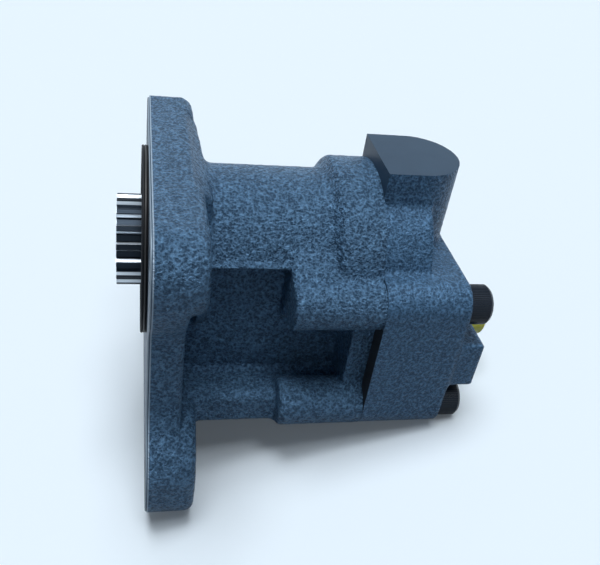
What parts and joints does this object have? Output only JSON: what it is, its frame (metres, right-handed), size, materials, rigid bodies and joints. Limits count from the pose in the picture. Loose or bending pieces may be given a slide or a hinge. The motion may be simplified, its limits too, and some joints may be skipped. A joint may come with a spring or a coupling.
{
  "type": "fuel transfer pump",
  "caption": "External gear fuel transfer pump with an eared flange, pilot, splined drive stub, bolted rear cover, relief valve and capped rear port.",
  "frame": {"origin": "centre of the four mounting bolts, in the plane of the mounting face", "axes": "+X along the drive axis from the mounting face to the rear cover, +Z towards the flat pad on the cover, +Y to the side of the inlet port"},
  "size_m": [0.1288, 0.108, 0.1115],
  "materials": {
    "phosphated_iron": "rough",
    "phosphated_iron_fine": "rough",
    "bright_steel": "satin",
    "gear_steel": "ground",
    "plain_steel": "satin",
    "black_steel": "black oxide",
    "bronze": "satin",
    "black_rubber": "matt",
    "yellow_plastic": "satin"
  },
  "bodies": {
    "housing": {"pump_body": "phosphated_iron", "rear_cover": "phosphated_iron_fine", "drive_bush_front": "bronze", "idler_bush_front": "bronze", "drive_bush_rear": "bronze", "idler_bush_rear": "bronze", "wear_plate_front": "bronze", "wear_plate_rear": "bronze", "seal_case": "plain_steel", "seal_lip": "black_rubber", "garter_spring": "plain_steel", "seal_clip": "black_steel", "pilot_seal": "black_rubber", "cover_seal": "black_rubber", "cover_screws": "black_steel", "dowel_pins": "plain_steel", "relief_spring": "plain_steel", "relief_plug": "black_steel"},
    "drive": {"drive_shaft": "bright_steel", "gear_key": "bright_steel", "drive_gear": "gear_steel"},
    "idler": {"idler_gear": "gear_steel", "idler_shaft": "gear_steel"},
    "valve": {"relief_plunger": "gear_steel"},
    "cap": {"port_cap": "yellow_plastic"}
  },
  "joints": [
    {"name": "drive_spin", "type": "hinge", "parent": "housing", "child": "drive", "pos_m": [0, 0, 0.0232], "axis": [1, 0, 0], "continuous": true},
    {"name": "idler_spin", "type": "hinge", "parent": "housing", "child": "idler", "pos_m": [0, 0, -0.0038], "axis": [1, 0, 0], "continuous": true},
    {"name": "relief_lift", "type": "slide", "parent": "housing", "child": "valve", "axis": [0, 1, 0], "range_m": [0, 0.003], "stiffness_N_per_m": 500, "springref_m": -0.002, "deforming": ["relief_spring"]},
    {"name": "cap_pull", "type": "slide", "parent": "housing", "child": "cap", "axis": [1, 0, 0], "range_m": [0, 0.012]}
  ],
  "couplings": [
    {"joint": "idler_spin", "follows": "drive_spin", "ratio": -1}
  ]
}
